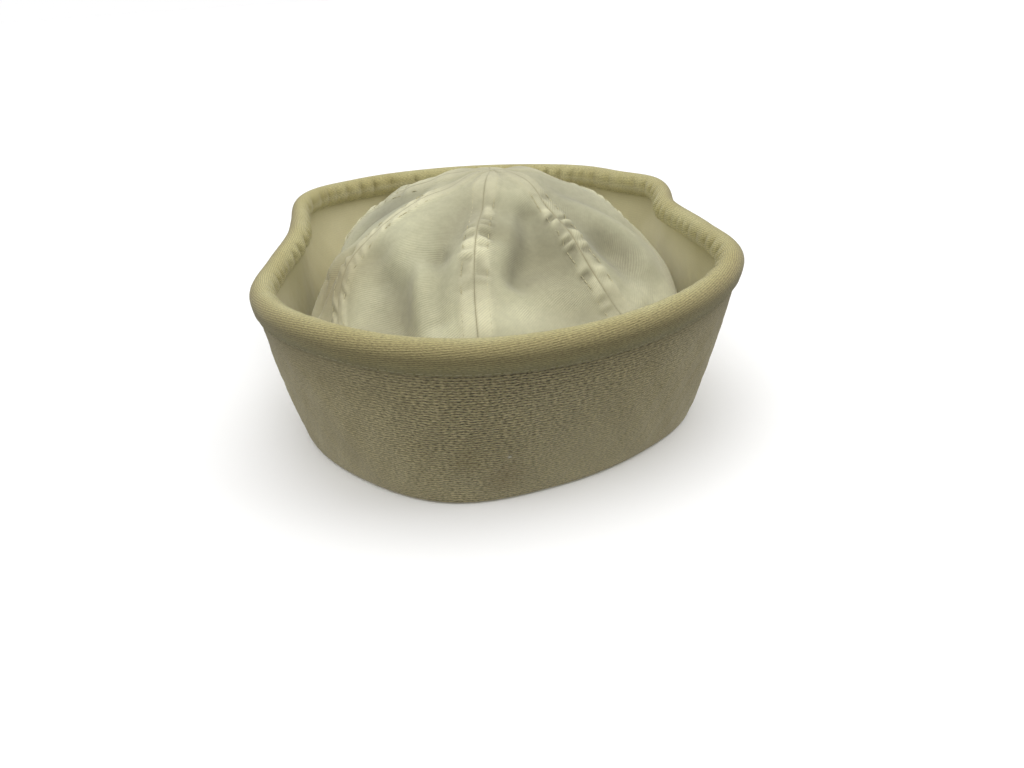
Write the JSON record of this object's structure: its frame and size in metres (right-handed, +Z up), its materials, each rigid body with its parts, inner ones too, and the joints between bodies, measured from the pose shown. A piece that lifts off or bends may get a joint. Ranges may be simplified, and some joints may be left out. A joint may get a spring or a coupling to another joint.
{
  "type": "sailor cap",
  "caption": "Soft white cotton sailor cap with a gored crown and a high stitched brim turned up all round, resting on its folded edge.",
  "frame": {"origin": "middle of the cap's plan, on the surface that its folded lower edge rests on", "axes": "+Z up through the crown, -Y towards the front of the cap, +X to the viewer's right when seen from the front"},
  "size_m": [0.215, 0.2576, 0.1023],
  "materials": {
    "crown_cloth": "single-layer white cotton twill, slightly yellowed",
    "stitched_brim_cloth": "layered cotton stitched in close rows, yellowed",
    "hem_cloth": "rolled cotton twill, yellowed at the edge"
  },
  "bodies": {
    "root": {"brim_band": "stitched_brim_cloth", "brim_hem": "hem_cloth", "crown_gore_1": "crown_cloth", "crown_gore_2": "crown_cloth", "crown_gore_3": "crown_cloth", "crown_gore_4": "crown_cloth", "crown_gore_5": "crown_cloth", "crown_gore_6": "crown_cloth"}
  },
  "joints": []
}
